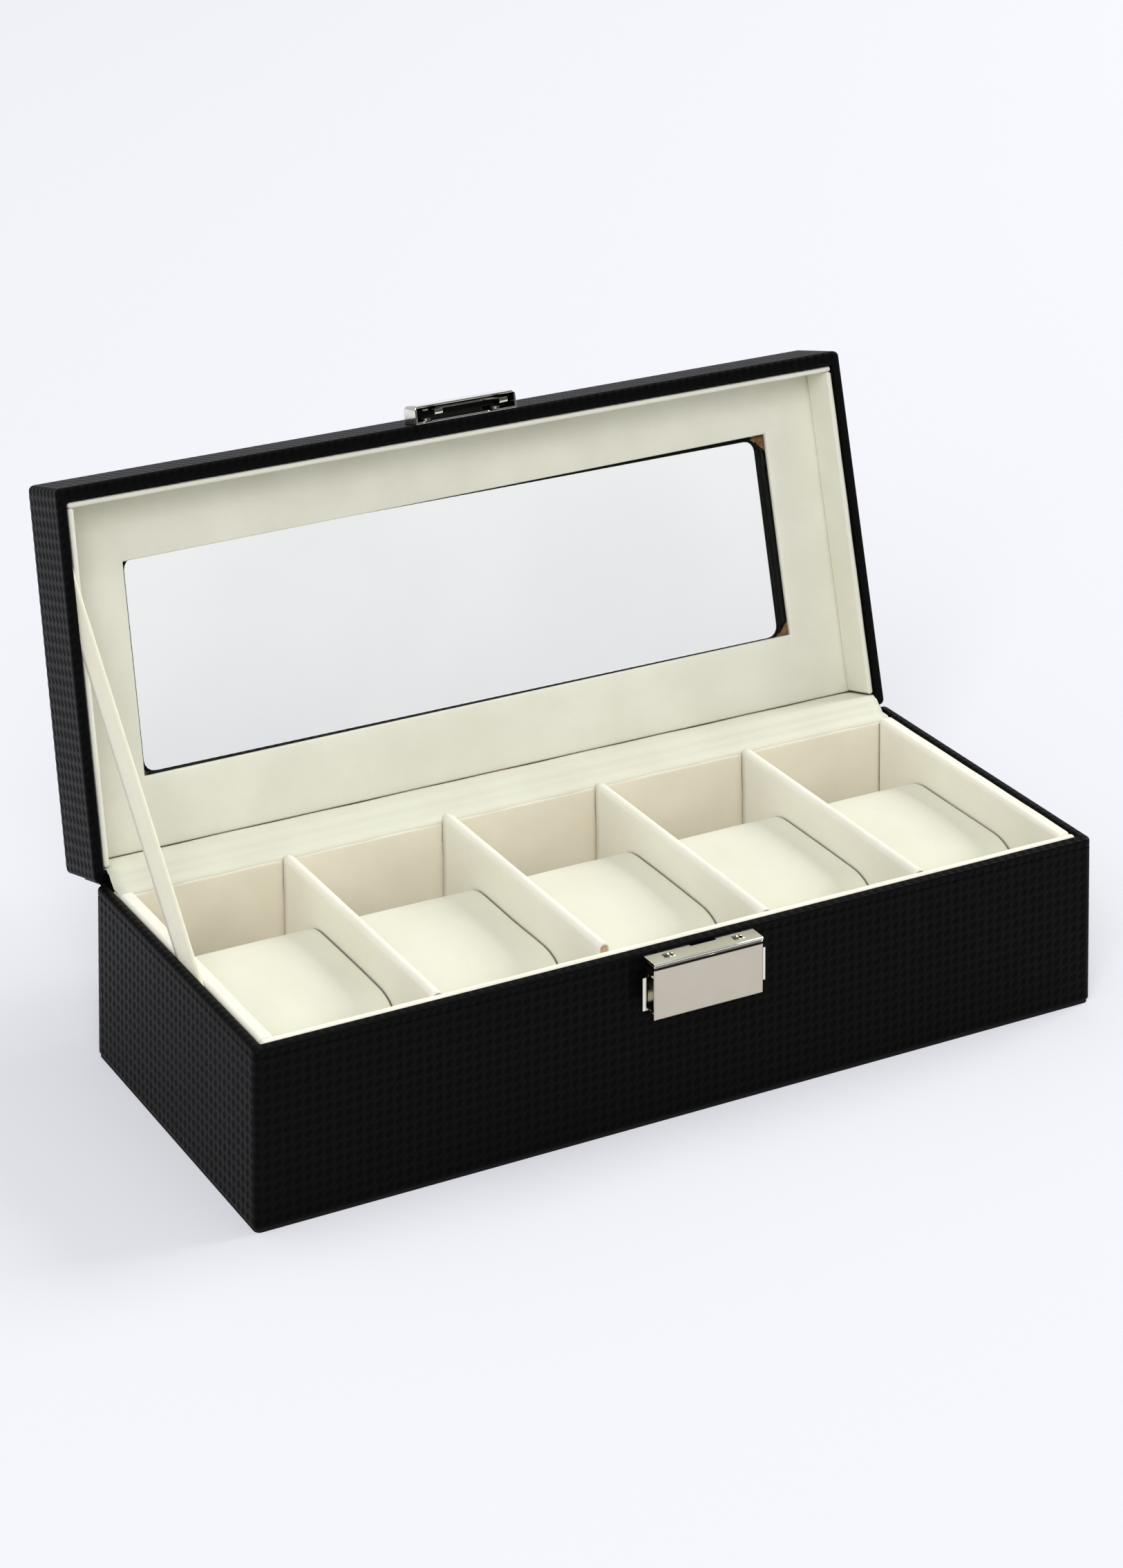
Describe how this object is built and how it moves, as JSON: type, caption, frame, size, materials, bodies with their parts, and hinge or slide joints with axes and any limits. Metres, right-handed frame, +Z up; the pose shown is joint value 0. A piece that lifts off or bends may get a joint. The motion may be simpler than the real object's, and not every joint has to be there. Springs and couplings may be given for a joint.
{
  "type": "watch box",
  "caption": "Low rectangular watch box with a windowed lid hinged at the back, lined compartments with soft pillows, a ribbon lid stay and a press latch.",
  "frame": {"origin": "middle of the underside", "axes": "+X along the box to its right end, +Y to the hinge side, +Z up; the lid rests open"},
  "size_m": [0.28, 0.1763, 0.1685],
  "materials": {
    "black_leather": "satin, embossed with a fine woven check",
    "fibreboard": "raw fibreboard",
    "cream_velvet": "short matt nap",
    "pillow_velvet": "soft matt nap over foam",
    "hinge_velvet": "stretched matt nap",
    "cream_ribbon": "flat woven ribbon",
    "underside_sheet": "matt black sheet",
    "clear_pane": "clear, polished",
    "nickel": "bright nickel plate",
    "nail_steel": "plain steel",
    "spring_steel": "bright spring steel"
  },
  "bodies": {
    "base": {"base_front_wall": "fibreboard", "base_back_wall": "fibreboard", "base_left_wall": "fibreboard", "base_right_wall": "fibreboard", "base_bottom_board": "fibreboard", "divider_1_core": "fibreboard", "divider_2_core": "fibreboard", "divider_3_core": "fibreboard", "divider_4_core": "fibreboard", "base_cover": "black_leather", "hinge_leather": "black_leather", "floor_lining": "cream_velvet", "front_lining": "cream_velvet", "back_lining": "cream_velvet", "left_lining": "cream_velvet", "right_lining": "cream_velvet", "divider_1_sleeve": "cream_velvet", "divider_2_sleeve": "cream_velvet", "divider_3_sleeve": "cream_velvet", "divider_4_sleeve": "cream_velvet", "hinge_cloth": "hinge_velvet", "ribbon_stay": "cream_ribbon", "bottom_sheet": "underside_sheet", "latch_housing": "nickel", "latch_nails": "nail_steel", "latch_spring": "spring_steel"},
    "lid": {"lid_front_wall": "fibreboard", "lid_back_wall": "fibreboard", "lid_left_wall": "fibreboard", "lid_right_wall": "fibreboard", "lid_top_frame": "fibreboard", "lid_spacer_frame": "fibreboard", "lid_cover": "black_leather", "lid_front_lining": "cream_velvet", "lid_left_lining": "cream_velvet", "lid_right_lining": "cream_velvet", "lid_lining_panel": "cream_velvet", "window_pane": "clear_pane", "strike_shell": "nickel", "strike_claws": "nickel", "strike_nails": "nail_steel"},
    "latch_button": {"latch_button": "nickel"},
    "pillow_1": {"pillow_1": "pillow_velvet"},
    "pillow_2": {"pillow_2": "pillow_velvet"},
    "pillow_3": {"pillow_3": "pillow_velvet"},
    "pillow_4": {"pillow_4": "pillow_velvet"},
    "pillow_5": {"pillow_5": "pillow_velvet"}
  },
  "joints": [
    {"name": "lid_hinge", "type": "hinge", "parent": "base", "child": "lid", "pos_m": [0, 0.0575, 0.05215], "axis": [-1, 0, 0], "range_deg": [-105, 0], "deforming": ["hinge_leather", "hinge_cloth", "ribbon_stay"]},
    {"name": "latch_press", "type": "slide", "parent": "base", "child": "latch_button", "axis": [0, 1, 0], "range_m": [0, 0.0012], "stiffness_N_per_m": 800, "deforming": ["latch_spring"]},
    {"name": "pillow_1_lift", "type": "slide", "parent": "base", "child": "pillow_1", "axis": [0, 0, 1], "range_m": [0, 0.06]},
    {"name": "pillow_2_lift", "type": "slide", "parent": "base", "child": "pillow_2", "axis": [0, 0, 1], "range_m": [0, 0.06]},
    {"name": "pillow_3_lift", "type": "slide", "parent": "base", "child": "pillow_3", "axis": [0, 0, 1], "range_m": [0, 0.06]},
    {"name": "pillow_4_lift", "type": "slide", "parent": "base", "child": "pillow_4", "axis": [0, 0, 1], "range_m": [0, 0.06]},
    {"name": "pillow_5_lift", "type": "slide", "parent": "base", "child": "pillow_5", "axis": [0, 0, 1], "range_m": [0, 0.06]}
  ]
}
